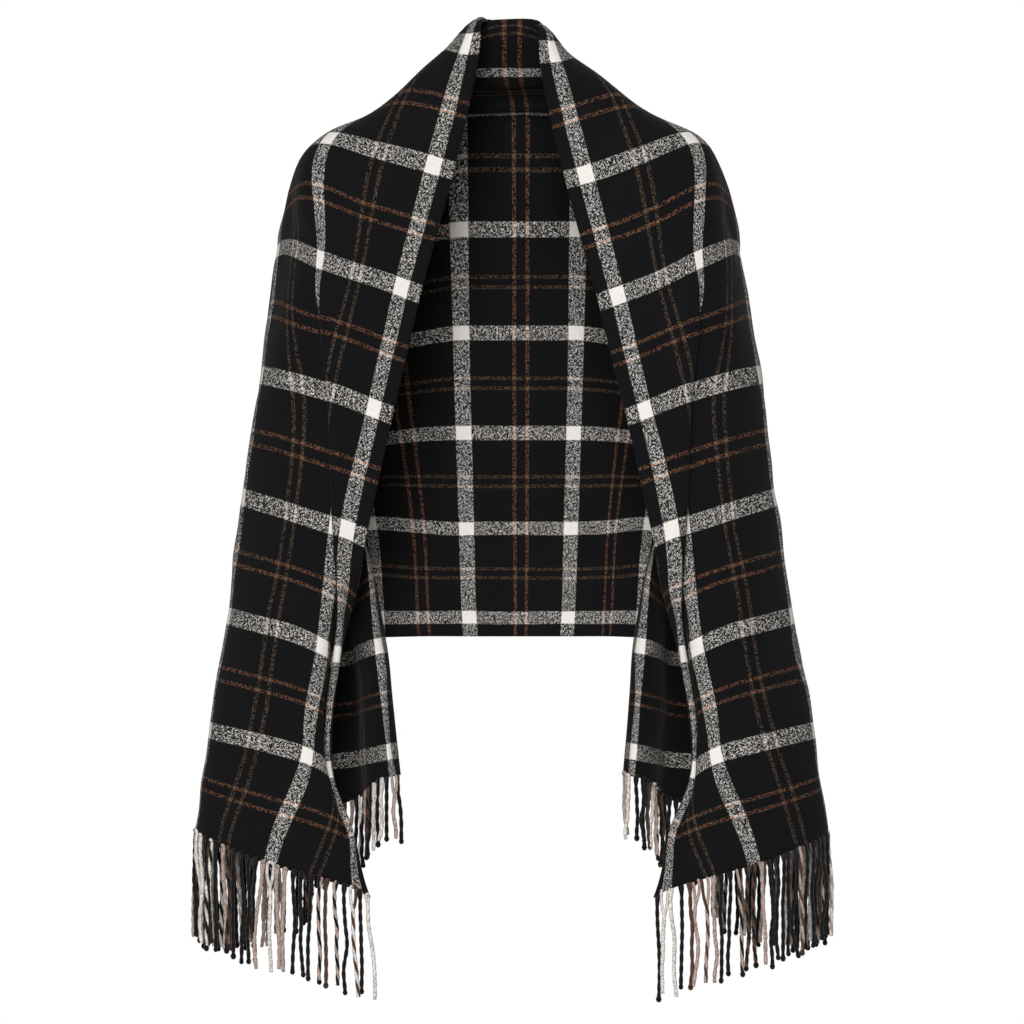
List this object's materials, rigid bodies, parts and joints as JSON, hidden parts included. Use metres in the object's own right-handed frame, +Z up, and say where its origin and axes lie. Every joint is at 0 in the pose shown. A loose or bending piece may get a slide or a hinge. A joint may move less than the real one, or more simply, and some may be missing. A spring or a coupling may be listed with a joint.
{
  "type": "fringed blanket scarf, worn with no wearer",
  "caption": "Long plaid blanket scarf with fringed ends, draped over the shoulders as a shawl: collar at the nape, open front, ends wrapped round the arms.",
  "frame": {"origin": "between the shoulders at the base of the neck, where the wearer holds the shawl up", "axes": "+Z up, -Y out of the open front, +X across the shoulders towards the wearer's left"},
  "size_m": [0.6668, 0.2562, 1.035],
  "materials": {
    "plaid_cloth": "brushed wool-blend twill, black with white and brown plaid",
    "fringe_yarn": "twisted two-ply yarn, black, cream and brown"
  },
  "bodies": {
    "root": {"back_stretch": "plaid_cloth", "left_stretch": "plaid_cloth", "right_stretch": "plaid_cloth", "left_fringe": "fringe_yarn", "right_fringe": "fringe_yarn"}
  },
  "joints": []
}
